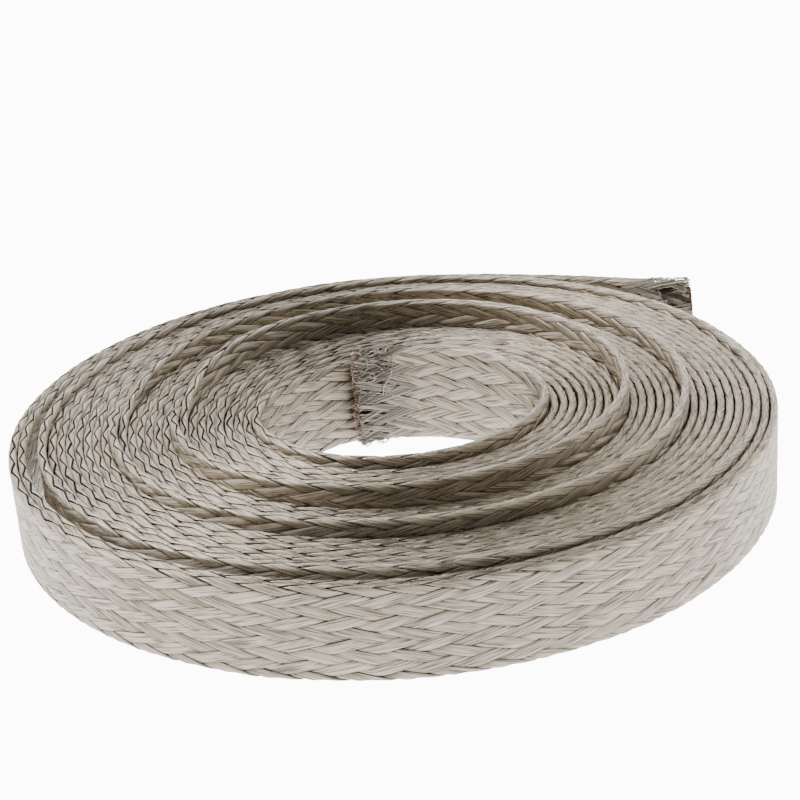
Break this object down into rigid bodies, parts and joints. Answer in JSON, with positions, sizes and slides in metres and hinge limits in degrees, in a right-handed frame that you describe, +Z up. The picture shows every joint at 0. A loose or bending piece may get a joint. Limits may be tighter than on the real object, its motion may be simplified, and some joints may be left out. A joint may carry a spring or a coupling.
{
  "type": "flexible busbar braid",
  "caption": "Flat woven strap of tinned copper wire for flexible earthing and busbar links, rolled up on its edge.",
  "frame": {"origin": "middle of the rolled strap in plan, on the surface it stands on", "axes": "+Z up along the roll's axis, across the strap; the free outer end lies towards +X +Y"},
  "size_m": [0.1704, 0.1714, 0.0269],
  "materials": {
    "tinned_copper_braid": "satin woven tinned copper wire"
  },
  "bodies": {
    "root": {"braided_strap": "tinned_copper_braid"}
  },
  "joints": []
}
